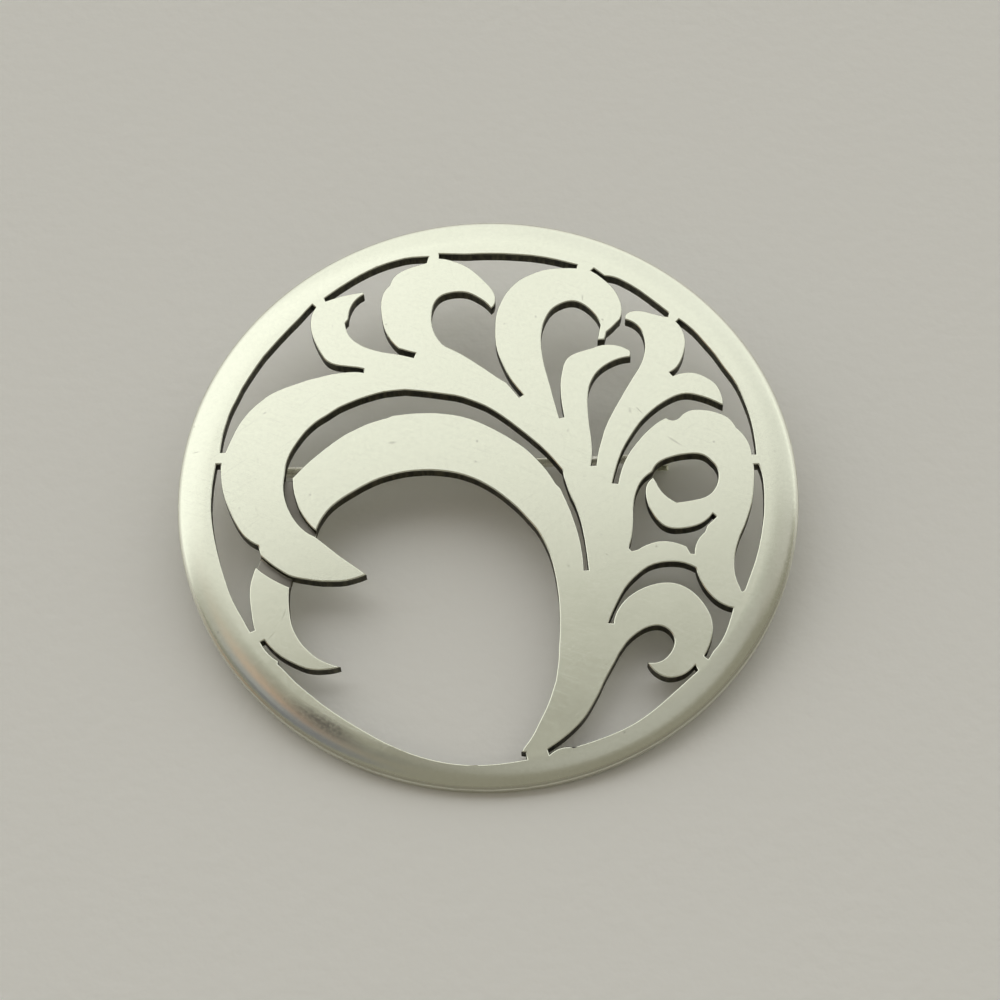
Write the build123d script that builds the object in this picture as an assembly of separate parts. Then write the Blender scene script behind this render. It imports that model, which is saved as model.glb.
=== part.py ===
from build123d import *
import os
from collections import namedtuple
from math import asin, atan2, cos, degrees, hypot, radians, sin

# A flat disc brooch in silver, sawn out of one sheet: a plain rim that is rounded down to its edge,
# and inside it a scroll of tendrils around a hook that crosses over the end of a crescent band.
# The fittings soldered on the back are a two-eared hinge and a C-shaped catch for a straight pin.
# Everything is laid out with the sheet's front face on z = 0 and the top of the ornament at +Y,
# and is then tipped the little way in which the finished brooch lies on a table.

# Sheet, in millimetres
DISC_RADIUS = 22.55
RIM_WIDTH = 2.55
SHEET_THICKNESS = 1.1
EDGE_FALL_WIDTH = 2.1
EDGE_FALL_DROP = 0.45
BACK_EDGE_ROUND = 0.15
CHANNEL_DEPTH = 0.55

# Fittings, in millimetres
PIN_DROP = 2.4
PIN_RADIUS_AT_HINGE = 0.42
PIN_RADIUS_AT_CATCH = 0.33
PIN_TIP_RADIUS = 0.06
PIN_POINT_LENGTH = 1.9
KNUCKLE_WIDTH = 0.9
KNUCKLE_INSET = 0.06
TRUNNION_RADIUS = 0.28
EAR_THICKNESS = 0.6
RUNNING_GAP = 0.05
SIDE_GAP = 0.08
CATCH_OUTER_RADIUS = 1.0
CATCH_GAP = 0.08
CATCH_LENGTH = 1.8
CATCH_STEM_WIDTH = 0.9
SOLDER_SINK = 0.1

# The ornament's lengths are hundredths of the field radius, which is where the plain rim begins
FIELD_RADIUS = DISC_RADIUS - RIM_WIDTH

# Where the fittings stand behind the ornament, in the same hundredths
Spot = namedtuple("Spot", "across up")

FITTINGS = {
    "hinge": Spot(-83, 15),
    "catch": Spot(62, 21.5),
}

# A gap is sawn in strokes. Each stroke follows one side of the ornament smoothly through the points
# passed on the way, up to the corner where the saw turns. The first one starts at the last corner.
Stroke = namedtuple("Stroke", "side passing corner")

GAPS = {
    "rim_to_outer_band": [
        Stroke("rim", [(-95.4, 30), (-88.5, 46.5), (-80, 60), (-70, 72)], (-66.4, 76.5)),
        Stroke("kerf end", [], (-65.1, 75.4)),
        Stroke("first tendril",
               [(-66.9, 69.5), (-64.8, 60.5), (-59.1, 52.3), (-52.5, 50.8)],
               (-46.4, 49.8)),
        Stroke("kerf end", [], (-46.4, 48.4)),
        Stroke("outer band",
               [(-55.5, 48.3), (-65, 45.8), (-80, 39.7), (-89.2, 31), (-94, 21.5)],
               (-96.2, 15.5)),
        Stroke("kerf end", [], (-97.9, 15.5)),
    ],
    "first_to_second_tendril": [
        Stroke("rim", [(-52, 87), (-43.7, 92), (-33.5, 95.8)], (-23.2, 97.1)),
        Stroke("kerf end", [], (-24, 94.7)),
        Stroke("second tendril, top", [(-30.5, 92.3), (-35.8, 88.7)], (-37.6, 85)),
        Stroke("second tendril, side", [(-40, 81.3), (-40.6, 73.5), (-38.4, 64.5)], (-33.7, 58)),
        Stroke("kerf", [], (-27.2, 56.2)),
        Stroke("kerf end", [], (-27.9, 54.4)),
        Stroke("outer band", [(-35, 55.9), (-45.5, 58.6), (-51.3, 62.7)], (-53.9, 68.8)),
        Stroke("nick", [], (-52.8, 70.2)),
        Stroke("first tendril, inside", [(-52.4, 73.6), (-50.9, 77.3)], (-47, 80.9)),
        Stroke("first tendril, tip", [], (-47.3, 82.1)),
        Stroke("first tendril, top", [(-52.5, 81.2)], (-61.5, 78.1)),
        Stroke("kerf end", [], (-61.9, 79.3)),
    ],
    "second_to_third_tendril": [
        Stroke("rim", [(-10, 98.1), (4, 98.2), (19.5, 96.8)], (32.7, 93.5)),
        Stroke("kerf end", [], (32.5, 92.2)),
        Stroke("third tendril",
               [(21.8, 91.8), (10.3, 86.4), (4.2, 78), (2, 66), (4.2, 53.5)],
               (12.8, 39)),
        Stroke("kerf end", [], (11.4, 38)),
        Stroke("kerf", [], (6.4, 44.2)),
        Stroke("under the heart", [(1, 48), (-7, 53.8)], (-16.6, 59.5)),
        Stroke("heart", [(-21.5, 69), (-18.8, 79.6), (-11, 82), (-3.8, 79.4)], (0.7, 75)),
        Stroke("second tendril, tip", [], (1.8, 76.2)),
        Stroke("second tendril, back", [(2.1, 80), (-2.8, 87.5), (-10, 93.6)], (-19.2, 96.4)),
        Stroke("kerf end", [], (-19.2, 98.2)),
    ],
    "third_to_fifth_tendril": [
        Stroke("kerf end", [], (39.1, 91.9)),
        Stroke("kerf", [], (43.1, 88.8)),
        Stroke("rim", [(46.3, 88.3), (53.2, 84.6), (60.5, 78.7)], (67, 73)),
        Stroke("kerf end", [], (66.6, 71.6)),
        Stroke("fifth tendril, top", [(60.9, 72.9), (54.3, 74.1), (51.4, 72.8)], (50.8, 70.1)),
        Stroke("fifth tendril, inside",
               [(54.8, 68), (57.9, 60.5), (53.2, 46), (46.3, 33.5), (41.7, 22)],
               (39.5, 10.4)),
        Stroke("kerf end", [], (37.6, 10.3)),
        Stroke("fourth tendril, inside",
               [(38, 18), (36.6, 32), (39, 46.8), (44.8, 52.2)],
               (52.5, 54.7)),
        Stroke("fourth tendril, tip", [], (52.4, 57.2)),
        Stroke("fourth tendril, top", [(47.6, 59.6), (42.5, 59.8)], (38.8, 58.6)),
        Stroke("fourth tendril, outside", [(34.2, 57), (29, 54), (27, 49), (26.8, 38)], (27.8, 30)),
        Stroke("kerf end", [], (26.1, 29.6)),
        Stroke("third tendril, inside",
               [(23.8, 38.8), (20.6, 51.5), (19.6, 66), (24.2, 75.2), (31.5, 78.1), (38.1, 74)],
               (41.3, 68)),
        Stroke("third tendril, end", [], (40.4, 61.6)),
        Stroke("third tendril, tip", [], (42.9, 61.8)),
        Stroke("third tendril, barb", [], (43.7, 65.2)),
        Stroke("third tendril, throat", [], (48.9, 70.2)),
        Stroke("third tendril, outside", [(49.6, 74.5), (47.5, 81.8), (43.2, 87.2)], (38.1, 91)),
    ],
    "fifth_to_seventh_tendril": [
        Stroke("kerf end", [], (70.6, 70.5)),
        Stroke("rim", [(76.3, 65.2), (84, 54.8), (90.9, 43.7), (95.5, 30.8)], (97.8, 15)),
        Stroke("kerf end", [], (96.3, 14.9)),
        Stroke("seventh tendril, shoulder", [(94.6, 21)], (90.8, 25.8)),
        Stroke("seventh tendril, top", [(87.4, 30.2), (80.9, 32.7), (74.8, 32.8)], (70.2, 29.7)),
        Stroke("nick", [(67.6, 28.6)], (65, 29.7)),
        Stroke("seventh tendril, back", [(60.2, 26.2), (54, 19.2), (49, 10)], (47.2, 3.2)),
        Stroke("kerf end", [], (45.3, 3.5)),
        Stroke("sixth tendril, inside",
               [(48.2, 13.8), (54, 25.4), (63, 35), (72.5, 39.2), (80, 37.8)],
               (86.3, 34.7)),
        Stroke("sixth tendril, outside", [(84.6, 42), (78.6, 47.2), (72.5, 48.2)], (68, 46.8)),
        Stroke("kerf end", [], (66.9, 48.2)),
        Stroke("fifth tendril, back", [(69.9, 50.5), (72.5, 57.5), (72.4, 64.5)], (69.6, 69.4)),
    ],
    "rim_to_seventh_tendril": [
        Stroke("kerf end", [], (98.5, 10.9)),
        Stroke("rim", [(99.9, 4.5), (100.1, -5), (98.2, -19), (94.4, -32.3)], (92.3, -38)),
        Stroke("foot", [(91.3, -38.9)], (90.6, -37.5)),
        Stroke("seventh tendril", [(88.6, -28.5), (90.6, -19), (94.4, -9.2), (96.6, 2)], (96.9, 10.9)),
    ],
    "curl_and_comma": [
        Stroke("curl, outside", [(57.5, 1.5), (58.6, -6.5), (64, -13.6), (72.2, -14.4)], (81.3, -8.8)),
        Stroke("kerf end", [], (82.5, -10)),
        Stroke("kerf", [], (79.2, -13.2)),
        Stroke("nick", [], (78.4, -15.9)),
        Stroke("seventh tendril", [(75.9, -19.2)], (74.3, -24.5)),
        Stroke("kerf end", [], (73.1, -24.4)),
        Stroke("eighth tendril, shoulder", [], (71.8, -21.6)),
        Stroke("eighth tendril, top", [(67, -19.7), (61, -19.6)], (54.4, -22.8)),
        Stroke("kerf", [], (52.1, -23.5)),
        Stroke("kerf end", [], (51.1, -22.2)),
        Stroke("stem", [(52.5, -16), (53, -6), (55, 2)], (59.8, 7.8)),
        Stroke("comma, top", [(64.8, 13.1), (70, 14.4), (76, 15.2)], (81.2, 12.2)),
        Stroke("comma, round", [(83.8, 5.8), (81, -0.6), (75.2, -3.2)], (68.5, -4.4)),
        Stroke("comma, foot", [(63.8, -0.6)], (61.3, 3.8)),
        Stroke("curl, tip", [], (60.2, 5.7)),
    ],
    "eighth_to_ninth_tendril": [
        Stroke("eighth tendril, under",
               [(46.2, -44.4), (52.5, -34), (60, -28.6), (67.5, -27.6)],
               (74.8, -30)),
        Stroke("eighth tendril, end", [(76.2, -34.4), (80.4, -41)], (87.7, -45.2)),
        Stroke("rim", [(86.2, -51), (83.6, -57.2)], (80.4, -61.5)),
        Stroke("kerf", [], (78.5, -64.6)),
        Stroke("kerf end", [], (77.1, -63.5)),
        Stroke("ninth tendril",
               [(80, -57), (80, -49), (76.4, -42), (67.5, -35.7), (57.6, -36.9), (50, -41.6)],
               (45.3, -51.2)),
        Stroke("kerf end", [], (43.6, -51.1)),
    ],
    "rim_to_stem": [
        Stroke("rim", [(64.8, -78.4), (52.5, -88.4), (41.7, -93.7)], (31, -97.4)),
        Stroke("kerf", [(27, -97.6)], (22.6, -100.2)),
        Stroke("kerf end", [], (21.8, -98.3)),
        Stroke("stem", [(28, -93.8), (34.9, -86.6), (40.2, -76.8), (44.8, -67.2)], (49.2, -59.8)),
        Stroke("curl, inside", [(54.8, -54), (62, -52.1), (66.7, -57.2), (64.6, -63.1)], (57.2, -65.8)),
        Stroke("curl, under", [(60.2, -69.9), (65, -71.7), (70.5, -70.1)], (73.9, -67.1)),
        Stroke("kerf end", [], (74.8, -68.9)),
    ],
    "between_bands": [
        Stroke("outer band, left", [(-72.6, 14), (-68.2, 22.2), (-58, 31.7), (-44.5, 38.4)], (-31, 41)),
        Stroke("outer band, right", [(-18, 39.6), (-5, 36.2), (8.8, 27.3), (19.5, 17.6)], (27.3, 8.3)),
        Stroke("outer band, foot", [(28.4, 2.8), (33, -9.2), (35.4, -21)], (36.4, -30.7)),
        Stroke("kerf end", [], (34.7, -30.8)),
        Stroke("inner band, foot", [(33.2, -18), (29.7, -6.5)], (26.4, 1.3)),
        Stroke("nick", [], (24.8, 3.1)),
        Stroke("inner band, right",
               [(16.5, 14.6), (4.2, 24), (-9.5, 30.2), (-24, 31.8)],
               (-35.1, 30.6)),
        Stroke("nick", [], (-37, 29.7)),
        Stroke("inner band, left", [(-48.3, 25.4), (-61, 16)], (-71.2, 5.2)),
        Stroke("kerf end", [], (-74, 5.4)),
    ],
    "great_opening": [
        Stroke("inner band",
               [(-57.5, -7.5), (-48.3, 0.2), (-36, 6.3), (-22.8, 8.6), (-9, 6.6), (5, -1.2)],
               (15.7, -11.9)),
        Stroke("stem, upper", [(22.6, -24.5), (26, -44), (26.1, -58)], (24.7, -73)),
        Stroke("stem, lower", [(19, -88.3)], (12.8, -99.2)),
        Stroke("nick", [], (14.4, -99.4)),
        Stroke("stem, foot", [], (14.8, -101.9)),
        Stroke("rim, bottom",
               [(5, -103.5), (-8, -103.8), (-24.3, -100.3), (-42, -91.8), (-62.2, -77.6)],
               (-73.6, -66.7)),
        Stroke("nick", [], (-73.5, -65.6)),
        Stroke("rim, left", [(-77.3, -62.4)], (-80, -58.5)),
        Stroke("kerf end", [], (-78.7, -57.8)),
        Stroke("tail, under", [(-72.2, -64.2), (-64.5, -68.1), (-57.5, -69.1)], (-51.1, -67.8)),
        Stroke("tail, inside", [(-59.8, -64.2), (-67, -56.5), (-70.2, -46)], (-70.4, -37.6)),
        Stroke("channel mouth", [], (-69.6, -33.6)),
        Stroke("hook, under", [(-60.5, -35.2), (-51, -35.1)], (-43, -32.6)),
        Stroke("hook, inside", [(-50, -27.5)], (-62.4, -17.7)),
        Stroke("channel mouth", [], (-61.8, -15.6)),
    ],
    "rim_to_hook": [
        Stroke("kerf end", [], (-97.7, 10.9)),
        Stroke("hook, outside", [(-96.7, 2), (-92.6, -9.8), (-87.3, -18)], (-82.4, -21.4)),
        Stroke("hook, step", [], (-81.4, -25.4)),
        Stroke("channel mouth", [], (-82.9, -29.7)),
        Stroke("tail", [(-84.6, -38), (-84, -46.5)], (-82.2, -53.9)),
        Stroke("kerf end", [], (-83.6, -54.6)),
        Stroke("rim", [(-90, -43.5), (-96.8, -25), (-100, -9), (-100.1, 2)], (-99.2, 10.9)),
    ],
}

# Where the hook crosses over the crescent band, the band is cut down on both sides of the hook.
# Each channel reaches a little way past its mouths, into the gaps at its ends.
CHANNELS = {
    "beside_hook": [
        Stroke("hook", [(-74, -0.8), (-71.4, -8.4), (-67.4, -14.2)], (-62.4, -17.7)),
        Stroke("lower mouth", [], (-60.2, -16.4)),
        Stroke("band's end corner", [], (-61.8, -15.6)),
        Stroke("band's end", [(-66.8, -9.8), (-70, -2)], (-71.2, 5.2)),
        Stroke("upper mouth", [], (-71.8, 6.6)),
        Stroke("upper mouth", [], (-74, 6.4)),
    ],
    "under_hook": [
        Stroke("hook", [(-77.6, -28.8), (-73.6, -31.7)], (-69.6, -33.6)),
        Stroke("right mouth", [], (-68.4, -36.4)),
        Stroke("right mouth", [], (-70.4, -37.6)),
        Stroke("tail's top", [(-74.6, -35.6), (-79.2, -32.7)], (-82.9, -29.7)),
        Stroke("left mouth", [], (-84, -26.6)),
        Stroke("left mouth", [], (-81.4, -25.4)),
    ],
}


def in_field(share):
    """A place on the sheet's front, from hundredths of the field radius."""
    return Vector(share[0], share[1]) * (FIELD_RADIUS / 100)


def hinge_place():
    """The point of the sheet's front that lies over the middle of the hinge."""
    return in_field(FITTINGS["hinge"])


def catch_place():
    """The point of the sheet's front that lies over the middle of the catch."""
    return in_field(FITTINGS["catch"])


def outline(strokes):
    """The flat face that the saw frees when it has gone round one gap."""
    edges = []
    here = in_field(strokes[-1].corner)
    for stroke in strokes:
        corner = in_field(stroke.corner)
        if stroke.passing:
            edges.append(Spline(here, *[in_field(point) for point in stroke.passing], corner))
        else:
            edges.append(Line(here, corner))
        here = corner
    return make_face(edges)


def cutter(strokes, depth):
    """A prism on a gap's outline, from above the front down to the depth."""
    return Pos(0, 0, SHEET_THICKNESS) * extrude(outline(strokes), amount=-(SHEET_THICKNESS + depth))


def disc():
    """The blank: flat in front, with the rim rounded down and the back edge eased."""
    fall_start = DISC_RADIUS - EDGE_FALL_WIDTH
    wall_foot = -SHEET_THICKNESS + BACK_EDGE_ROUND
    back_start = DISC_RADIUS - BACK_EDGE_ROUND
    section = [
        Line((0, 0), (fall_start, 0)),
        EllipticalCenterArc((fall_start, -EDGE_FALL_DROP), EDGE_FALL_WIDTH, EDGE_FALL_DROP, arc_size=90),
        Line((DISC_RADIUS, -EDGE_FALL_DROP), (DISC_RADIUS, wall_foot)),
        RadiusArc((DISC_RADIUS, wall_foot), (back_start, -SHEET_THICKNESS), BACK_EDGE_ROUND),
        Line((back_start, -SHEET_THICKNESS), (0, -SHEET_THICKNESS)),
        Line((0, -SHEET_THICKNESS), (0, 0)),
    ]
    return revolve(Plane.XZ * make_face(section), Axis.Z)


def pin_plane():
    """On the pin's middle line at the hinge, with x towards the catch and z towards the sheet."""
    level = Vector(0, 0, -(SHEET_THICKNESS + PIN_DROP))
    return Plane(
        origin=hinge_place() + level,
        x_dir=catch_place() - hinge_place(),
        z_dir=(0, 0, 1),
    )


def pin_span():
    """From the hinge's trunnions to the middle of the catch."""
    return (catch_place() - hinge_place()).length


def ear_reach():
    """From the pin's middle line to an ear's outer face."""
    return KNUCKLE_WIDTH / 2 + SIDE_GAP + EAR_THICKNESS


def rest_tilt():
    """How far the brooch leans, in radians, lying on its lower back edge and on the catch."""
    slant = pin_plane().x_dir.Y
    rise = PIN_DROP + BACK_EDGE_ROUND
    run = DISC_RADIUS - BACK_EDGE_ROUND + catch_place().Y - slant * CATCH_LENGTH / 2
    return atan2(rise, run) + asin((CATCH_OUTER_RADIUS - BACK_EDGE_ROUND) / hypot(rise, run))


def ear_radius():
    """The hinge ears' round ends, which reach down to the same table as the edge and the catch."""
    tilt = rest_tilt()
    edge_height = -(SHEET_THICKNESS - BACK_EDGE_ROUND) * cos(tilt)
    table = edge_height - (DISC_RADIUS - BACK_EDGE_ROUND) * sin(tilt) - BACK_EDGE_ROUND
    axis = pin_plane().origin
    axis_height = axis.Y * sin(tilt) + axis.Z * cos(tilt)
    outer_face_height = axis_height - ear_reach() * abs(pin_plane().y_dir.Y) * sin(tilt)
    return (outer_face_height - table) / hypot(pin_plane().x_dir.Y * sin(tilt), cos(tilt))


def across(radius, width):
    """A round bar across the pin, along the hinge's axis."""
    return Cylinder(radius, width, rotation=(90, 0, 0))


def hinge_ears():
    """Two soldered ears with round ends, bored for the pin's trunnions."""
    height = PIN_DROP + SOLDER_SINK
    stem = Box(2 * ear_radius(), EAR_THICKNESS, height, align=(Align.CENTER, Align.CENTER, Align.MIN))
    hole = across(TRUNNION_RADIUS + RUNNING_GAP, 2 * EAR_THICKNESS)
    ear = across(ear_radius(), EAR_THICKNESS) + stem - hole
    offset = ear_reach() - EAR_THICKNESS / 2
    return [pin_plane() * Pos(0, side * offset, 0) * ear for side in (-1, 1)]


def catch():
    """A soldered C on a short stem, open towards the lower edge, that the pin's end springs into."""
    bore_radius = PIN_RADIUS_AT_CATCH + CATCH_GAP
    height = PIN_DROP + SOLDER_SINK
    stem = Box(CATCH_LENGTH, CATCH_STEM_WIDTH, height, align=(Align.CENTER, Align.CENTER, Align.MIN))
    body = Cylinder(CATCH_OUTER_RADIUS, CATCH_LENGTH, rotation=(0, 90, 0)) + stem
    bore = Cylinder(bore_radius, 2 * CATCH_LENGTH, rotation=(0, 90, 0))
    mouth = Box(
        2 * CATCH_LENGTH,
        2 * CATCH_OUTER_RADIUS,
        2 * bore_radius,
        align=(Align.CENTER, Align.MAX, Align.CENTER),
    )
    return pin_plane() * Pos(pin_span(), 0, 0) * (body - bore - mouth)


def pierced_plate():
    """The sheet with its gaps sawn out, the crossing cut down and the fittings soldered on."""
    saw_depth = 2 * SHEET_THICKNESS
    cuts = [cutter(strokes, saw_depth) for strokes in GAPS.values()]
    cuts += [cutter(strokes, CHANNEL_DEPTH) for strokes in CHANNELS.values()]
    return disc() - cuts + hinge_ears() + catch()


def pin_stem():
    """One straight tapered wire with a point, and a knuckle with trunnions at the hinge."""
    wire_end = pin_span() + CATCH_LENGTH / 2
    tip = wire_end + PIN_POINT_LENGTH
    half_section = Polyline(
        (0, 0),
        (0, PIN_RADIUS_AT_HINGE),
        (wire_end, PIN_RADIUS_AT_CATCH),
        (tip, PIN_TIP_RADIUS),
        (tip, 0),
        close=True,
    )
    wire = revolve(make_face(half_section), Axis.X)
    knuckle = across(ear_radius() - KNUCKLE_INSET, KNUCKLE_WIDTH)
    trunnions = across(TRUNNION_RADIUS, 2 * ear_reach())
    return pin_plane() * (wire + knuckle + trunnions)


def place_at_rest(pieces):
    """Lean the pieces together and stand the lowest point under the middle of them on the origin."""
    leaning = [Rot(X=degrees(rest_tilt())) * piece for piece in pieces]
    box = Compound(leaning).bounding_box()
    home = Pos(-box.center().X, -box.center().Y, -box.min.Z)
    return [home * piece for piece in leaning]


NODES = {
    "pierced_plate": pierced_plate(),
    "pin_stem": pin_stem(),
}

os.makedirs("parts", exist_ok=True)
for name, piece in zip(NODES, place_at_rest(list(NODES.values()))):
    export_step(piece, f"parts/{name}.step")
    print(name, "volume", round(piece.volume, 1), "mm3, solids", len(piece.solids()))
print("rest tilt", round(degrees(rest_tilt()), 2), "degrees, ear radius", round(ear_radius(), 3))
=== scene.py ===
# %% [markdown]
# # A pierced silver brooch, finished in Blender
#
# The brooch is one flat disc of silver, sawn through into a scroll, with a hinge, a straight pin and
# a catch on its back. Its shapes and sizes are already made: they come in as two solids, lying as
# the brooch lies on a table. This lesson gives them what a silversmith does last, which is easing
# the edges and rubbing the face to a satin, and it paints the saw cuts dark as painted shade. Then
# it lights them.

# %% Load the two solids
import math
from collections import namedtuple

import bmesh
import bpy
from mathutils import Matrix, Vector, noise
from mathutils.geometry import delaunay_2d_cdt, intersect_point_line


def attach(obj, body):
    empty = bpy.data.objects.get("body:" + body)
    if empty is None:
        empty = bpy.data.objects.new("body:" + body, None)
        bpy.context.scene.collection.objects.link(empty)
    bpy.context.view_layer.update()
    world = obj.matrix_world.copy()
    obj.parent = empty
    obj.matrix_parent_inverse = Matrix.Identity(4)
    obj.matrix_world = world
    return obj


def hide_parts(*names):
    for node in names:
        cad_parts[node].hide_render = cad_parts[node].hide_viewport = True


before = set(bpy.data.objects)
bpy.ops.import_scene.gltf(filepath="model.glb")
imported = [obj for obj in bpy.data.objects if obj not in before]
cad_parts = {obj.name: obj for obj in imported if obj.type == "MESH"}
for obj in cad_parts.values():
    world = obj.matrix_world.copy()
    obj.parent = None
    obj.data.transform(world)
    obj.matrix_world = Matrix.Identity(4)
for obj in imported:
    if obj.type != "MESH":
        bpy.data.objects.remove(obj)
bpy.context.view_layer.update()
print("solids:", sorted(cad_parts))

# %% [markdown]
# ## Where the sheet lies
#
# The hinge and the catch lift the brooch's upper edge a little off the table, so its face leans.
# Every mark on the face is easier to place in the sheet's own measure: millimetres from the middle
# of the disc, with the height counted from the face. We don't type the lean in. The largest flat
# facet of the solid is part of the face, so its normal tells the lean, and the extent of all the
# points across and up the sheet tells where the middle of the disc is.

# %% The sheet's own axes
MM = 0.001

sheet_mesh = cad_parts["pierced_plate"].data
face_facet = max(sheet_mesh.polygons, key=lambda facet: facet.area * (facet.normal.z > 0))
sheet_up = face_facet.normal.copy()
sheet_right = Vector((1, 0, 0))
sheet_top = sheet_up.cross(sheet_right).normalized()


def middle_along(axis):
    """Halfway between the solid's furthest points along one axis."""
    reaches = [point.co.dot(axis) for point in sheet_mesh.vertices]
    return (min(reaches) + max(reaches)) / 2


sheet_middle = (
    sheet_right * middle_along(sheet_right)
    + sheet_top * middle_along(sheet_top)
    + sheet_up * face_facet.center.dot(sheet_up)
)
axes = Matrix((sheet_right, sheet_top, sheet_up)).transposed()
SHEET = Matrix.Translation(sheet_middle) @ axes.to_4x4()
LEAN = math.atan2(-sheet_up.y, sheet_up.z)
print("the sheet leans", round(math.degrees(LEAN), 2), "degrees")
print("its middle is at", [round(value / MM, 2) for value in sheet_middle], "mm")

# %% [markdown]
# ## The camera
#
# The photo looks down on the face from about 66 degrees, with a long lens close by. The place of
# the camera is worked out in the sheet's own measure, from how round the rim looks, and the sheet's
# matrix carries it over to the table. So the camera keeps its angle to the brooch and stands well
# above the floor.

# %% Place the camera
PITCH = math.radians(23.94)
YAW = math.radians(1.15)
FOCAL_LENGTH = 97.2
SENSOR_WIDTH = 36
DISC_SEEN_FROM_CAMERA = Vector((-0.91, 0.63, -195.91))

camera_data = bpy.data.cameras.new("camera")
camera_data.lens = FOCAL_LENGTH
camera_data.sensor_width = SENSOR_WIDTH
camera_data.clip_start = 0.01
camera_data.clip_end = 20
camera = bpy.data.objects.new("camera", camera_data)
bpy.context.scene.collection.objects.link(camera)
bpy.context.scene.camera = camera

turn = Matrix.Rotation(PITCH, 4, "X") @ Matrix.Rotation(YAW, 4, "Y")
camera.matrix_world = SHEET @ turn @ Matrix.Translation(-DISC_SEEN_FROM_CAMERA * MM)
print("camera at", [round(value / MM, 1) for value in camera.matrix_world.translation], "mm")

# %% [markdown]
# ## Sums on sockets
#
# A finish is mostly arithmetic: this mark times that place, one minus a mask. Written node by node
# it fills pages, so one small class wraps an output socket and lets Python's own signs add the Math
# nodes.

# %% A socket that can be used in sums
class Reading:
    """One output socket, which adds Math nodes as it is used in a sum."""

    def __init__(self, finish, socket):
        self.finish = finish
        self.socket = socket

    def math(self, operation, first, second=0.0):
        return self.finish.node("ShaderNodeMath", {"operation": operation}, {0: first, 1: second})

    def __add__(self, other):
        return self.math("ADD", self, other)

    def __sub__(self, other):
        return self.math("SUBTRACT", self, other)

    def __rsub__(self, other):
        return self.math("SUBTRACT", other, self)

    def __mul__(self, other):
        return self.math("MULTIPLY", self, other)

    def __truediv__(self, other):
        return self.math("DIVIDE", self, other)

    def __pow__(self, other):
        return self.math("POWER", self, other)

    def __abs__(self):
        return self.math("ABSOLUTE", self)

    __radd__ = __add__
    __rmul__ = __mul__

    def beside(self, output):
        """Another output of the same node."""
        return Reading(self.finish, self.socket.node.outputs[output])

    def rising(self, low, high):
        """Nought below low, one above high, and smooth between them."""
        return self.finish.node(
            "ShaderNodeMapRange",
            {"interpolation_type": "SMOOTHSTEP"},
            {"Value": self, "From Min": low, "From Max": high},
        )

    def falling(self, low, high):
        """One below low, nought above high, and smooth between them."""
        return 1 - self.rising(low, high)


print("readings can be used in sums")

# %% [markdown]
# ## One method for every other node
#
# A finish holds the nodes of one material, or of the room. Its one method takes a node's kind, its
# settings, and the numbers or readings of its sockets. The short methods after it are the few nodes
# that every finish here needs: a blend of two colours, a noise, a stretched place and the shader.

# %% A finish and its nodes
class Finish:
    """The nodes of a material or of the room, with the one method that adds them."""

    def __init__(self, owner):
        owner.use_nodes = True
        self.owner = owner
        self.tree = owner.node_tree
        self.tree.nodes.clear()

    def node(self, kind, settings=None, sockets=None, output=0):
        """Adds a node, makes its settings, then fills its sockets with numbers or readings."""
        made = self.tree.nodes.new(kind)
        for setting, value in (settings or {}).items():
            setattr(made, setting, value)
        for socket, value in (sockets or {}).items():
            if isinstance(value, Reading):
                self.tree.links.new(value.socket, made.inputs[socket])
            else:
                made.inputs[socket].default_value = value
        return Reading(self, made.outputs[output]) if made.outputs else None

    def blend(self, share, first, second):
        """A colour between two others."""
        colours = [c if isinstance(c, Reading) else (*c, 1) for c in (first, second)]
        return self.node(
            "ShaderNodeMix",
            {"data_type": "RGBA"},
            {0: share, 6: colours[0], 7: colours[1]},
            output=2,
        )

    def parts(self, vector):
        """The three numbers of a vector."""
        split = self.node("ShaderNodeSeparateXYZ", {}, {0: vector})
        return [Reading(self, out) for out in split.socket.node.outputs]

    def spread(self, vector, scale, detail=2.0, roughness=0.5):
        """Soft cloudy numbers about one half."""
        return self.node(
            "ShaderNodeTexNoise",
            {},
            {"Vector": vector, "Scale": scale, "Detail": detail, "Roughness": roughness},
        )

    def stretch(self, vector, scale, turn=0.0):
        """A vector turned about the third axis, then scaled along each axis."""
        turned = self.node("ShaderNodeMapping", {}, {"Vector": vector, "Rotation": (0, 0, turn)})
        return self.node("ShaderNodeVectorMath", {"operation": "MULTIPLY"}, {0: turned, 1: scale})

    def along(self, vector, direction):
        """How far a vector reaches in a direction."""
        settings = {"operation": "DOT_PRODUCT"}
        return self.node("ShaderNodeVectorMath", settings, {0: vector, 1: direction}, "Value")

    def surface(self, **sockets):
        """The shader itself, on the material's output."""
        names = {name.replace("_", " ").title(): value for name, value in sockets.items()}
        shader = self.node("ShaderNodeBsdfPrincipled", {}, names)
        self.node("ShaderNodeOutputMaterial", {}, {"Surface": shader})
        return self.owner


print("the finish kit is ready")

# %% [markdown]
# ## What the silver sees
#
# Silver is a soft mirror: it has no look of its own, only that of what stands around it. A ring of
# lamps could light it, but each lamp would show in the satin as a patch with an edge. The photo has
# no such patches. Its face is evenly bright above and grows dimmer towards the bottom of the rim,
# so the brooch saw one wide pale wall, which rose behind it and leaned back over it, and a dim warm
# room in front. Here that room is painted straight into the surroundings. Each row names a soft
# round patch of the room: where its middle lies, how far it reaches, how far it keeps its full
# colour, all in degrees, and that colour. Low down and far away the room takes the tone of the lit
# floor, so the floor seems to have no end.

# %% The room around the brooch
Patch = namedtuple("Patch", "azimuth elevation reach core colour")

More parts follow.
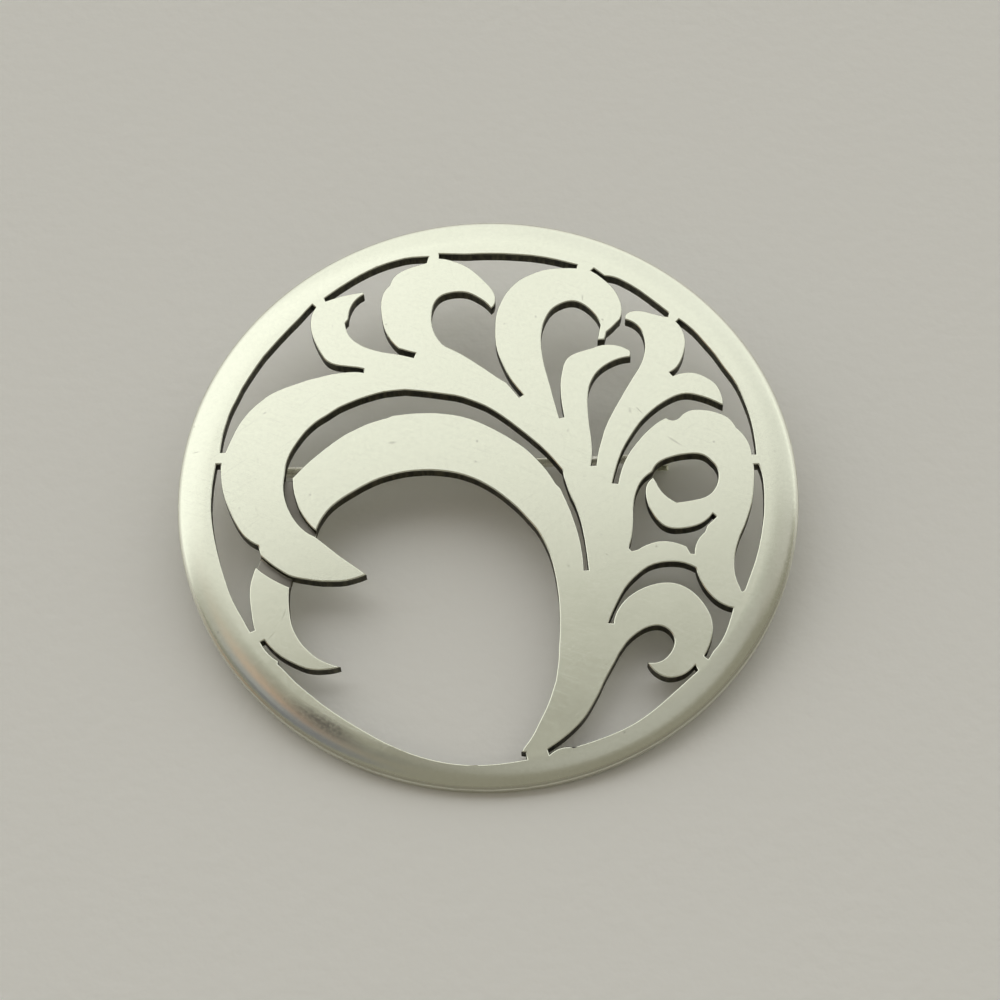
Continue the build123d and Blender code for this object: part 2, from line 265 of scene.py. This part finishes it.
# Azimuths count from straight behind the brooch towards the right
WALL_COLOUR = (0.955, 0.955, 0.895)
WALL_PATCHES = {
    "dimmer low middle": Patch(0, 28, 14, 6, (0.90, 0.90, 0.85)),
    "dimmer middle": Patch(22, 48, 20, 10, (0.88, 0.88, 0.83)),
    "dimmer high right": Patch(66, 62, 22, 10, (0.74, 0.74, 0.69)),
}
FRONT_COLOUR = (0.25, 0.235, 0.19)
FRONT_PATCHES = {
    "low card": Patch(49, 57, 17, 8, (0.485, 0.465, 0.44)),
    "pale card": Patch(64, 81, 13, 6, (0.425, 0.415, 0.385)),
    "warm card": Patch(-88, 73.5, 8.5, 3.5, (0.43, 0.26, 0.17)),
    "dim gap": Patch(-85, 80, 6, 2.5, (0.17, 0.17, 0.155)),
    "cool shade": Patch(-112, 63, 15, 7, (0.17, 0.17, 0.19)),
}
LOW_PATCHES = {"warm glow": Patch(-107, 24, 11, 4, (0.70, 0.42, 0.27))}
WALL_TURN = -7
WALL_LEAN = 15
WALL_EDGE = (-0.03, 0.03)
FAR_COLOUR = (0.497, 0.484, 0.432)
FAR_HEIGHT = (0.01, 0.05)


def towards(azimuth, elevation):
    """The direction with this azimuth and elevation, in degrees."""
    turn, rise = math.radians(azimuth), math.radians(elevation)
    return Vector(
        (math.sin(turn) * math.cos(rise), math.cos(turn) * math.cos(rise), math.sin(rise))
    )


room = Finish(bpy.data.worlds.new("room"))
bpy.context.scene.world = room.owner
bpy.context.scene.view_settings.view_transform = "Standard"
looking = room.node("ShaderNodeTexCoord", output="Generated")


def painted(colour, patches):
    """A colour with soft patches painted over it, one after the other."""
    for patch in patches.values():
        nearness = room.along(looking, towards(patch.azimuth, patch.elevation))
        rim, core = math.cos(math.radians(patch.reach)), math.cos(math.radians(patch.core))
        colour = room.blend(nearness.rising(rim, core), colour, patch.colour)
    return colour


behind = room.along(looking, towards(WALL_TURN, -WALL_LEAN)).rising(*WALL_EDGE)
room_colour = room.blend(
    behind, painted(FRONT_COLOUR, FRONT_PATCHES), painted(WALL_COLOUR, WALL_PATCHES)
)
room_colour = painted(room_colour, LOW_PATCHES)
far_and_low = room.parts(looking)[2].falling(*FAR_HEIGHT)
room_colour = room.blend(far_and_low, room_colour, FAR_COLOUR)
glow = room.node("ShaderNodeBackground", {}, {"Color": room_colour, "Strength": 1.0})
room.node("ShaderNodeOutputWorld", {}, {"Surface": glow})
print("patches in the room:", ", ".join([*WALL_PATCHES, *FRONT_PATCHES, *LOW_PATCHES]))

# %% [markdown]
# ## One soft lamp
#
# The upper left of the face is a little brighter than the rest, so one large soft lamp stands
# there, behind the brooch's left shoulder. An area lamp's strength is a power. For a mirror the
# power says little, and what counts is how bright the lamp looks, so the helper takes that.

# %% The lamp
LAMP_DISTANCE = 0.9


def soft_lamp(name, azimuth, elevation, side, brightness, tint):
    """A square lamp that faces the brooch, as bright as the silver is to see it."""
    lamp_data = bpy.data.lights.new(name, "AREA")
    lamp_data.size = side
    lamp_data.energy = brightness * math.pi * side**2
    lamp_data.color = tint
    lamp = bpy.data.objects.new(name, lamp_data)
    lamp.location = towards(azimuth, elevation) * LAMP_DISTANCE
    lamp.rotation_mode = "QUATERNION"
    lamp.rotation_quaternion = (-lamp.location).to_track_quat("-Z", "Y")
    bpy.context.scene.collection.objects.link(lamp)
    print(name, "lamp at", [round(value, 2) for value in lamp.location], "m")


soft_lamp("left shoulder", -58, 53, 0.72, 0.14, (1.0, 1.0, 0.97))

# %% [markdown]
# ## Plain pale floor
#
# The brooch lies on matt card. The card is one flat sheet, so wide that its far edge stays near the
# horizon from every side, and a faint cloudiness and a fine grain keep it from looking empty.

# %% The card
FLOOR_SIZE = 40.0
FLOOR_TONE = (0.96, 0.955, 0.94)
SHADED_TONE = (0.94, 0.935, 0.92)

floor_mesh = bpy.data.meshes.new("floor")
half = FLOOR_SIZE / 2
floor_mesh.from_pydata(
    [(-half, -half, 0), (half, -half, 0), (half, half, 0), (-half, half, 0)], [], [(0, 1, 2, 3)]
)
floor = bpy.data.objects.new("floor", floor_mesh)
bpy.context.scene.collection.objects.link(floor)

card = Finish(bpy.data.materials.new("pale_card"))
card_place = card.node("ShaderNodeTexCoord", output="Object")
card_grain = card.spread(card_place, 900.0)
card_bump = card.node(
    "ShaderNodeBump", {}, {"Height": card_grain, "Strength": 0.25, "Distance": 0.2 * MM}
)
floor_mesh.materials.append(
    card.surface(
        base_color=card.blend(card.spread(card_place, 9.0, detail=3.0), SHADED_TONE, FLOOR_TONE),
        roughness=0.85,
        normal=card_bump,
    )
)
print("floor", FLOOR_SIZE, "m wide")

# %% [markdown]
# ## Whole facets
#
# A solid arrives as thousands of small triangles. Before anything is done to its edges, the seams
# inside its flats and inside each straight piece of wall are taken out, so that every edge that is
# left is a true one. The round parts keep theirs.

# %% Join the facets of the flats and the walls
WELD = 0.004 * MM
FLAT_WITHIN = math.radians(0.5)

# Cosines of the angle to the sheet's own upright
LEVEL_OVER = 0.99999
STEEP_UNDER = 0.01
UPRIGHT_OVER = 0.99


def is_level(facet):
    """Whether a facet belongs to the flat front, back or channels."""
    return abs(facet.normal.dot(sheet_up)) > LEVEL_OVER


def is_steep(facet):
    """Whether a facet belongs to an upright wall."""
    return abs(facet.normal.dot(sheet_up)) < STEEP_UNDER


def is_upright(edge):
    """Whether an edge stands square to the sheet."""
    direction = (edge.verts[1].co - edge.verts[0].co).normalized()
    return abs(direction.dot(sheet_up)) > UPRIGHT_OVER


def joined_facets(solid):
    """The solid's mesh with its points welded and its flats and straight walls made whole."""
    work = bmesh.new()
    work.from_mesh(solid.data)
    bmesh.ops.remove_doubles(work, verts=work.verts, dist=WELD)
    seams = [edge for edge in work.edges if all(map(is_level, edge.link_faces))]
    for edge in work.edges:
        if all(map(is_steep, edge.link_faces)) and not is_upright(edge):
            seams.append(edge)
    bmesh.ops.dissolve_limit(work, angle_limit=FLAT_WITHIN, verts=[], edges=seams, delimit=set())
    return work


print("facets are joined where they meet within", round(math.degrees(FLAT_WITHIN), 1), "degrees")

# %% [markdown]
# ## A saw held in the hand
#
# The solid's gaps run as true as if a compass had drawn them. A piercing saw is steered by hand and
# strays by a few hundredths of a millimetre, and both walls of a narrow cut stray together, because
# one blade makes them. So the sides of the gaps are divided into short steps, and each point is
# moved by a smooth noise that is read at its place on the sheet. A point of the back has the same
# place as the point of the front above it, so the walls stay upright. The noise is given a seed,
# because without one Blender takes the time of day, and the saw would stray anew in each run.

# %% Let the saw stray
PIERCED_WITHIN = 20.3 * MM
BACK_LEVEL = -1.1 * MM
STEP = 0.3 * MM
STRAY = 0.055 * MM
STRAY_LENGTH = 1.4 * MM
STRAY_SEED = 7
to_sheet = SHEET.inverted()
noise.seed_set(STRAY_SEED)


def is_pierced(place):
    """Whether a place lies in the part of the sheet that is sawn out, and not below its back."""
    return place.to_2d().length < PIERCED_WITHIN and place.z > BACK_LEVEL - WELD


def let_saw_stray(work):
    """Divides the sides of the gaps and moves their points a little, front and back alike."""
    for edge in list(work.edges):
        kinds = {is_level(facet) - is_steep(facet) for facet in edge.link_faces}
        if kinds == {1, -1} and all(is_pierced(to_sheet @ end.co) for end in edge.verts):
            start = edge.verts[0]
            for steps_left in range(math.ceil(edge.calc_length() / STEP), 1, -1):
                start = bmesh.utils.edge_split(edge, start, 1 / steps_left)[1]
    walls = [facet for facet in work.faces if is_steep(facet)]
    bmesh.ops.triangulate(work, faces=walls)
    for point in work.verts:
        place = to_sheet @ point.co
        if is_pierced(place):
            stray = noise.noise_vector(place.to_2d().to_3d() / STRAY_LENGTH) * STRAY
            point.co += sheet_right * stray.x + sheet_top * stray.y


print("the saw strays by up to", round(STRAY / MM, 3), "mm")

# %% [markdown]
# ## Eased edges
#
# A solid from a drawing has edges as sharp as glass. On the real brooch the rubbing cloth rounds
# every edge that it can reach, and that is the edges of the face, of the back and of the fittings.
# It can't reach the corners deep in a saw cut, which stay as square as the blade left them. The
# rounded strip is geometry and not a shading trick, so it draws a line of light and also shows in
# the outline.

# %% Ease the edges that a cloth can reach
SHARP_OVER = math.radians(32)
STRIPS = 4


def mark_reached_edges(work):
    """Gives each sharp edge the weight one, apart from the upright corners of the walls."""
    weights = work.edges.layers.float.new("bevel_weight_edge")
    for edge in work.edges:
        sharp = len(edge.link_faces) == 2 and edge.calc_face_angle() > SHARP_OVER
        hidden = is_upright(edge) and all(map(is_steep, edge.link_faces))
        edge[weights] = 1.0 if sharp and not hidden else 0.0


def eased_mesh(name, work, width):
    """The mesh with a rounded strip of this width on every edge that is marked."""
    sharp = bpy.data.meshes.new(name + "_sharp")
    work.to_mesh(sharp)
    work.free()
    holder = bpy.data.objects.new(name + "_sharp", sharp)
    bpy.context.scene.collection.objects.link(holder)
    ease = holder.modifiers.new("eased_edges", "BEVEL")
    ease.limit_method = "WEIGHT"
    ease.width = width
    ease.segments = STRIPS
    ease.use_clamp_overlap = False
    ease.loop_slide = False
    ease.miter_outer = "MITER_ARC"
    seen = holder.evaluated_get(bpy.context.evaluated_depsgraph_get())
    mesh = bpy.data.meshes.new_from_object(seen)
    mesh.name = name
    mesh.materials.clear()
    bpy.data.objects.remove(holder)
    bpy.data.meshes.remove(sharp)
    return mesh


print("edges over", round(math.degrees(SHARP_OVER)), "degrees are eased")

# %% [markdown]
# ## Filling the flats
#
# The front is one flat with a dozen holes in it. Blender can't hold a facet with holes, so it keeps
# a few many-sided ones that wind round them, and when it splits those into triangles it may bridge
# a hole. A Delaunay fill is surer: it is told the outline, keeps every side of it, and mends the
# places where two sides just cross with a point of its own. The strip beside such a side doesn't
# know that point, so its side is split there as well and the two points are welded. Otherwise the
# mesh would stay open along it. Past a crossing the outline runs backwards for a short way, so the
# facets are then all turned to agree with their neighbours.

# %% Split the many-sided facets
MANY_SIDES = 20
SAME_PLACE = 1e-9
CROSSING_WITHIN = 0.001 * MM


def close_crossings(work, crossings):
    """Splits each open side that runs through a crossing there too, and welds the points."""
    for crossing in crossings:
        doubles = {}
        for side in [edge for edge in work.edges if edge.is_boundary]:
            start, end = side.verts
            nearest, share = intersect_point_line(crossing.co, start.co, end.co)
            is_through = 0 < share < 1 and crossing not in side.verts
            if is_through and (nearest - crossing.co).length < CROSSING_WITHIN:
                doubles[bmesh.utils.edge_split(side, start, share)[1]] = crossing
        bmesh.ops.weld_verts(work, targetmap=doubles)
    bmesh.ops.recalc_face_normals(work, faces=work.faces)


def fill_wide_facets(work):
    """Splits each flat facet with many sides into the triangles of a Delaunay fill."""
    wide = [facet for facet in work.faces if len(facet.verts) > MANY_SIDES]
    triangles = 0
    crossings = []
    for facet in wide:
        lay_flat = facet.normal.to_track_quat("Z", "Y").inverted()
        stand_up = lay_flat.inverted()
        corners = list(facet.verts)
        laid = [lay_flat @ corner.co for corner in corners]
        sides = [(number, (number + 1) % len(laid)) for number in range(len(laid))]
        filled = delaunay_2d_cdt([place.to_2d() for place in laid], sides, [], 1, SAME_PLACE)
        places, splits, sources = filled[0], filled[2], filled[3]
        made = []
        for place, found in zip(places, sources):
            if found:
                made.append(corners[found[0]])
            else:
                made.append(work.verts.new(stand_up @ Vector((*place, laid[0].z))))
                crossings.append(made[-1])
        bmesh.ops.delete(work, geom=[facet], context="FACES_ONLY")
        for split in splits:
            triangle = [made[number] for number in split]
            if work.faces.get(triangle) is None:
                work.faces.new(triangle)
                triangles += 1
    close_crossings(work, crossings)
    still_open = sum(edge.is_boundary for edge in work.edges)
    print(len(wide), "wide facets split into", triangles, "triangles")
    print(len(crossings), "crossings closed,", still_open, "sides still open")


# %% [markdown]
# ## Normals that are true
#
# Light on metal follows the normals. Blender would average them at each point, and an average
# between a wide flat and a narrow strip makes the flat look dented. Weighted by the area of the
# facets, the flat wins, and the narrow strip does all of the turning. Facets that meet at a square
# corner are kept out of each other's average. The front is known even better than that: it is flat,
# and its rim is a quarter of an ellipse. Wherever the average is close to that shape's own normal,
# the corner takes the shape's, so the rim is as smooth as turned.

# %% Normals of the front and of everything else
DOME_STARTS = 20.45 * MM
DOME_WIDTH = 2.1 * MM
DOME_DROP = 0.45 * MM
SAME_WITHIN = math.radians(8)
ROUND_WITHIN = math.cos(math.radians(50))
FURTHEST_SHARE = 0.9995
NEAR_FRONT = 0.02 * MM
HARDLY_ANY = 1e-12


def front_at(place):
    """The height and the normal of the sheet's front over a place, in the sheet's own axes."""
    reach = place.to_2d().length
    share = min(max((reach - DOME_STARTS) / DOME_WIDTH, 0), FURTHEST_SHARE)
    level = math.sqrt(1 - share**2)
    slope = DOME_DROP / DOME_WIDTH * share / level
    outwards = place.to_2d() / max(reach, MM)
    return DOME_DROP * (level - 1), Vector((*(outwards * slope), 1)).normalized()


def true_front(point):
    """The front's own normal at a point, or nothing if the point isn't near the front."""
    place = to_sheet @ point
    height, normal = front_at(place)
    near = abs(place.z - height) < NEAR_FRONT or place.to_2d().length > DOME_STARTS
    return SHEET.to_3x3() @ normal if near else None


def set_normals(mesh, has_front):
    """Gives each corner the mean normal of its rounded surroundings, or that of the true front."""
    for left_over in ("custom_normal", "sharp_edge", "sharp_face"):
        if left_over in mesh.attributes:
            mesh.attributes.remove(mesh.attributes[left_over])
    around = [[] for _ in mesh.vertices]
    for facet in mesh.polygons:
        for corner in facet.vertices:
            around[corner].append((facet.normal.copy(), facet.area))
    fronts = [true_front(point.co) if has_front else None for point in mesh.vertices]
    normals = []
    for facet in mesh.polygons:
        for corner in facet.vertices:
            mean = facet.normal * HARDLY_ANY
            for normal, area in around[corner]:
                if normal.dot(facet.normal) > ROUND_WITHIN:
                    mean += normal * area
            mean.normalize()
            front = fronts[corner]
            is_front = front is not None and front.angle(mean) < SAME_WITHIN
            normals.append(front if is_front else mean)
    mesh.normals_split_custom_set(normals)


print("the rim rounds down by", round(DOME_DROP / MM, 2), "mm")

# %% [markdown]
# ## The two pieces
#
# The sheet and the wire go down the same bench: facets joined, edges eased, flats filled, normals
# set. Each then stands for one solid and lies still with it, since the hidden pin is one plain piece
# that doesn't turn here. The sheet's edges are eased more than the wire's, because the rubbing cloth
# rests on them.

# %% Make the pieces
SHEET_EASE = 0.09 * MM
WIRE_EASE = 0.04 * MM


def piece_for(solid_name, name, work, edge_width, has_front):
    """A new piece that stands for the solid, with eased edges."""
    mark_reached_edges(work)
    mesh = eased_mesh(name, work, edge_width)
    work = bmesh.new()
    work.from_mesh(mesh)
    fill_wide_facets(work)
    work.to_mesh(mesh)
    work.free()
    set_normals(mesh, has_front)
    piece = bpy.data.objects.new(name, mesh)
    bpy.context.scene.collection.objects.link(piece)
    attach(piece, "root")
    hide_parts(solid_name)
    print(name, len(mesh.polygons), "facets")
    return piece


sheet_work = joined_facets(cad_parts["pierced_plate"])
let_saw_stray(sheet_work)
plate = piece_for("pierced_plate", "silver_sheet", sheet_work, SHEET_EASE, True)
wire_work = joined_facets(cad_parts["pin_stem"])
pin = piece_for("pin_stem", "pin_wire", wire_work, WIRE_EASE, False)

# %% [markdown]
# ## Places on the sheet
#
# Everything on the sheet is found by its place: the rim by its distance from the middle, the walls
# of the saw cuts by their steepness, the channels by their depth. So the object's own coordinates
# are carried into the sheet's measure once, and each mask is then a short sum. All masks are nought
# or one with a soft step between.

# %% Masks for the sheet
RIM_STARTS = 20.0
SHEET_BACK = BACK_LEVEL / MM

silver = Finish(bpy.data.materials.new("satin_silver"))
on_sheet = silver.node(
    "ShaderNodeMapping",
    {},
    {
        "Vector": silver.node("ShaderNodeTexCoord", output="Object"),
        "Location": to_sheet.translation / MM,
        "Rotation": to_sheet.to_euler(),
        "Scale": (1 / MM, 1 / MM, 1 / MM),
    },
)
across, up, height = silver.parts(on_sheet)
from_middle = (across * across + up * up) ** 0.5
facing = silver.along(silver.node("ShaderNodeNewGeometry", output="Normal"), sheet_up)

in_sheet = height.rising(SHEET_BACK - 0.04, SHEET_BACK)
steep = abs(facing).falling(0.15, 0.6)
wall = steep * in_sheet * from_middle.falling(21.0, 21.4)
channel = height.falling(-0.5, -0.3) * height.rising(-0.7, -0.6) * facing.rising(0.7, 0.95)
back = (0 - facing).rising(0.8, 0.95)
rim = from_middle.rising(RIM_STARTS, RIM_STARTS + 0.5)
outer_edge = from_middle.rising(22.25, 22.45)
solder = height.falling(SHEET_BACK - 0.05, SHEET_BACK) * height.rising(-1.45, -1.3)
print("masks ready")

# %% [markdown]
# ## Marks of the work
#
# The face was rubbed with fine abrasive, which leaves a soft grain and, here and there, a longer
# hairline. By hand it never gets quite flat, so a slow unevenness lies under the grain. The rim was
# rubbed round and round, so its lines follow it. The sheet also keeps a few faint pits. Each is a
# noise that is stretched to its own shape: hairlines are long and thin, the rim's lines are a noise
# read along the circle, and the pits are the middles of scattered cells, of which few are kept. The
# place at which the cells are read is shaken a little, or every pit would be a perfect round.

# %% Grain, hairlines, rim lines and pits
cloud = silver.spread(on_sheet, 0.22, detail=3.0)
unevenness = silver.spread(on_sheet, 1.1, detail=2.0)
mottle = silver.spread(on_sheet, 3.5, detail=3.0, roughness=0.6)
grain = silver.spread(on_sheet, 9.0, detail=4.0, roughness=0.65)

Rubbing = namedtuple("Rubbing", "turn length width threshold")

RUBBINGS = [
    Rubbing(0.4, 3.0, 0.06, 0.64),
    Rubbing(1.3, 2.2, 0.05, 0.66),
    Rubbing(2.5, 4.0, 0.07, 0.67),
]


def hairlines(rubbing):
    """Fine straight scratches in one direction, where the noise rises over a threshold."""
    drawn_out = silver.stretch(on_sheet, (1 / rubbing.length, 1 / rubbing.width, 1), rubbing.turn)
    strength = silver.spread(drawn_out, 1.0, detail=1.0)
    return strength.rising(rubbing.threshold, rubbing.threshold + 0.06)


scratches = sum(hairlines(rubbing) for rubbing in RUBBINGS)
ring_place = silver.node(
    "ShaderNodeCombineXYZ",
    {},
    {0: across / from_middle * 2.5, 1: up / from_middle * 2.5, 2: from_middle * 5.0},
)
rim_lines = silver.spread(ring_place, 1.0, detail=3.0, roughness=0.6)

shaken = silver.node(
    "ShaderNodeVectorMath",
    {"operation": "MULTIPLY_ADD"},
    {0: silver.spread(on_sheet, 7.0).beside("Color"), 1: (0.25, 0.25, 0.25), 2: on_sheet},
)
cells = silver.node("ShaderNodeTexVoronoi", {}, {"Vector": shaken, "Scale": 0.8})
kept_cells = silver.parts(cells.beside("Color"))[0].rising(0.55, 0.85)
pits = cells.falling(0.0, 0.11) * kept_cells
print("hairlines in", len(RUBBINGS), "directions")

# %% [markdown]
# ## Marks that this one brooch has
#
# A few marks are the brooch's own, and are placed one by one: faint scratches, rubs and specks, each
# a soft oval. A stretch of the rim at the lower left is larger and mottled, and is painted darker as
# painted dark reflection.

# %% The brooch's own marks
Mark = namedtuple("Mark", "across up length width turn strength")

# Millimetres from the middle of the disc, and degrees from level
MARKS = {
    "scratch on the rim": Mark(-21.4, 3.15, 0.7, 0.16, 10, 0.25),
    "rub on the crescent": Mark(-7.0, 3.9, 0.8, 0.28, 5, 0.22),
    "speck on the crescent": Mark(-0.8, 4.0, 0.32, 0.24, 90, 0.26),
    "lower speck": Mark(-0.9, 2.35, 0.26, 0.24, 0, 0.20),
    "nick over the loop": Mark(6.95, 15.9, 0.7, 0.18, 95, 0.26),
    "scratch on the tendril": Mark(11.1, 6.5, 1.0, 0.12, -48, 0.30),
    "rub beside it": Mark(10.4, 6.5, 0.6, 0.28, 100, 0.18),
    "scratch over the curl": Mark(13.65, 4.0, 1.7, 0.24, -35, 0.20),
    "speck over the curl": Mark(16.5, 3.95, 0.28, 0.26, 0, 0.22),
    "scratch on the tail": Mark(-14.4, -9.7, 1.4, 0.14, 76, 0.24),
    "lower scratch on the tail": Mark(-15.2, -11.25, 1.2, 0.14, 52, 0.20),
}
DARKER_STRETCH = Mark(-11.3, -17.75, 8.0, 1.7, 148, 1.0)


def oval(mark):
    """A soft oval on the front: its strength in the middle and nought at its edge."""
    offset = silver.node(
        "ShaderNodeVectorMath",
        {"operation": "SUBTRACT"},
        {0: on_sheet, 1: (mark.across, mark.up, 0)},
    )
    rounded = silver.stretch(
        offset, (2 / mark.length, 2 / mark.width, 1.2), math.radians(-mark.turn)
    )
    distance = silver.node("ShaderNodeVectorMath", {"operation": "LENGTH"}, {0: rounded}, "Value")
    return distance.falling(0.1, 1.0) * mark.strength


own_marks = sum(oval(mark) for mark in MARKS.values())
# The painted dark reflection on the rim's lower left, mottled
darker_stretch = oval(DARKER_STRETCH) * (0.4 * rim_lines + 0.6 * mottle).rising(0.22, 0.68)
print("the brooch's own marks:", ", ".join(MARKS))

# %% [markdown]
# ## Walls of the saw cuts
#
# The walls of the saw cuts are painted nearly black, as painted shade and painted dark reflection
# for the inside of the cuts. Cloth and polish don't reach into them, so they stay matt, and the
# blade leaves upright lines on them. The two channels beside the hook, which were cut down with a
# graver, are matt too and are painted darker as painted shade. Close to the face the wall is painted
# a little lighter, as painted light at the mouth of the cut.

# %% Dark walls, painted shade
saw_lines = silver.spread(silver.stretch(on_sheet, (4.0, 4.0, 0.5)), 1.0, detail=2.0)
# Painted shade and painted dark reflection: the walls of the cuts are nearly black, with the saw
# lines in the tone
wall_shade_tone = silver.blend(saw_lines.rising(0.3, 0.75), (0.024, 0.022, 0.012), (0.085, 0.08, 0.045))
# Painted light: near the face the walls are painted a little lighter
light_near_face = height.rising(-0.4, -0.05) * 0.25
wall_shade_tone = silver.blend(light_near_face, wall_shade_tone, (0.24, 0.22, 0.17))
# Painted shade: the floors of the channels are painted darker than the face, with a cloudy tone
channel_shade_tone = silver.blend(cloud.rising(0.3, 0.7), (0.20, 0.19, 0.17), (0.40, 0.385, 0.35))

# %% [markdown]
# ## Satin silver
#
# A pale grey paint would stay the same from every side, and metal does not. So the silver is fully
# metallic, with a roughness of about a sixth, which blurs the room as the satin does. What changes
# over it is kept small: a slow cloudiness, the rubbing marks, the pits. The back was never rubbed
# as finely, so it is duller, and the solder at the feet of the hinge and the catch is a bit warmer.

# %% The finish of the sheet
FACE_TONES = ((0.877, 0.9, 0.777), (0.913, 0.935, 0.813))
BACK_TONE = (0.78, 0.78, 0.70)
SOLDER_TONE = (0.86, 0.80, 0.62)
MARK_TONE = (0.30, 0.27, 0.22)
# The colour of the painted shade on the disc's outer edge
OUTER_EDGE_SHADE = (0.50, 0.48, 0.43)
# The colour of the painted dark reflection on the rim's lower left
DARKER_STRETCH_TONE = (0.32, 0.30, 0.285)

mixed = 0.3 * cloud + 0.4 * mottle + 0.3 * grain
tone = silver.blend(mixed.rising(0.4, 0.6), *FACE_TONES)
tone = silver.blend(back, tone, BACK_TONE)
tone = silver.blend(solder, tone, SOLDER_TONE)
# Painted dark reflection: a mottled stretch of the rim at the lower left is painted darker
tone = silver.blend(darker_stretch * 0.9, tone, DARKER_STRETCH_TONE)
# Painted shade: the outermost edge of the rim is painted darker, which dims the light it would
# reflect
tone = silver.blend(outer_edge * 0.5, tone, OUTER_EDGE_SHADE)
tone = silver.blend(pits * 0.35 + own_marks, tone, MARK_TONE)
# Painted shade on the walls of the cuts, then in the channels
tone = silver.blend(wall, tone, wall_shade_tone)
tone = silver.blend(channel, tone, channel_shade_tone)
relief = (
    unevenness * 1.2
    + grain * 0.9
    + rim * rim_lines * 1.8
    + wall * saw_lines * 2.5
    - scratches * 0.25
    - pits * 0.5
    - own_marks * 4.0
)
plate.data.materials.append(
    silver.surface(
        base_color=tone,
        metallic=1.0,
        roughness=0.17
        + 0.06 * (cloud - 0.5)
        + scratches * 0.05
        + own_marks * 0.3
        + wall * 0.35
        + channel * 0.25
        + outer_edge * 0.15
        + back * 0.12,
        normal=silver.node(
            "ShaderNodeBump", {}, {"Height": relief, "Strength": 0.35, "Distance": 0.003 * MM}
        ),
    )
)
print("satin silver has", len(silver.tree.nodes), "nodes")

# %% [markdown]
# ## The pin
#
# The pin is drawn wire, so its marks run along it. It was polished once and then left alone.

# %% The finish of the pin
pin_silver = Finish(bpy.data.materials.new("pin_silver"))
pin_place = pin_silver.node("ShaderNodeTexCoord", output="Object")
draw_lines = pin_silver.spread(pin_silver.stretch(pin_place, (300, 9000, 9000)), 1.0)
pin_cloud = pin_silver.spread(pin_place, 900.0)
pin.data.materials.append(
    pin_silver.surface(
        base_color=pin_silver.blend(pin_cloud, (0.80, 0.79, 0.70), (0.88, 0.87, 0.80)),
        metallic=1.0,
        roughness=0.22 + 0.1 * pin_cloud,
        normal=pin_silver.node(
            "ShaderNodeBump", {}, {"Height": draw_lines, "Strength": 0.3, "Distance": 0.002 * MM}
        ),
    )
)
print("pin silver has", len(pin_silver.tree.nodes), "nodes")

# %% [markdown]
# ## Close the lesson
#
# The view layer is updated once more, so that every piece is in its place.

# %% Finish
bpy.context.view_layer.update()
